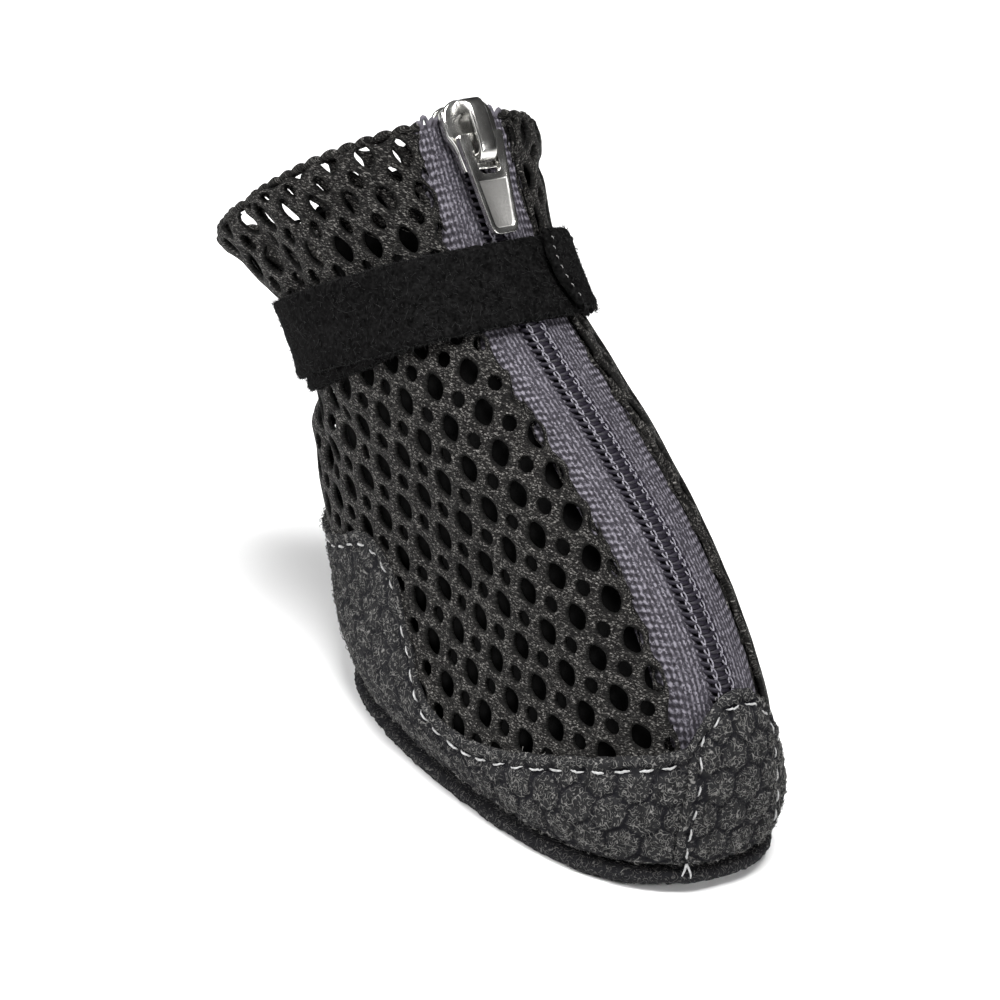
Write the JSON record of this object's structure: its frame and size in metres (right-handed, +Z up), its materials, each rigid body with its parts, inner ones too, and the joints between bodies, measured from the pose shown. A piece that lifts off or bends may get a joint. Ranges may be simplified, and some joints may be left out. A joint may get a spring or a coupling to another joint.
{
  "type": "dog boot",
  "caption": "Soft dog boot with a knitted mesh upper, patterned suede rand and sole, front zip with a pull tab, and a hook-and-loop ankle strap.",
  "frame": {"origin": "middle of the outsole's underside, on the floor", "axes": "+X from heel to toe, +Y across the foot to its left, +Z up out of the sole"},
  "size_m": [0.1238, 0.0468, 0.094],
  "materials": {
    "suede": "napped charcoal suede with a raised hexagon pattern",
    "lining": "plain woven pad",
    "mesh": "black warp-knit mesh with open eyelets",
    "tape": "woven polyester zip tape",
    "coil": "dark nylon coils",
    "webbing": "brushed black loop webbing",
    "nickel": "polished nickel plate"
  },
  "bodies": {
    "boot": {"outsole": "suede", "insole": "lining", "upper": "mesh", "side_rand": "suede", "toe_cap": "suede", "zip_tape_left": "tape", "zip_tape_right": "tape", "zip_chain": "coil", "strap": "webbing", "slider": "nickel"},
    "pull_tab": {"pull_tab": "nickel"}
  },
  "joints": [
    {"name": "pull_tab_swing", "type": "hinge", "parent": "boot", "child": "pull_tab", "pos_m": [-0.03494, 0, 0.08901], "axis": [0, -1, 0], "range_deg": [0, 150]}
  ]
}
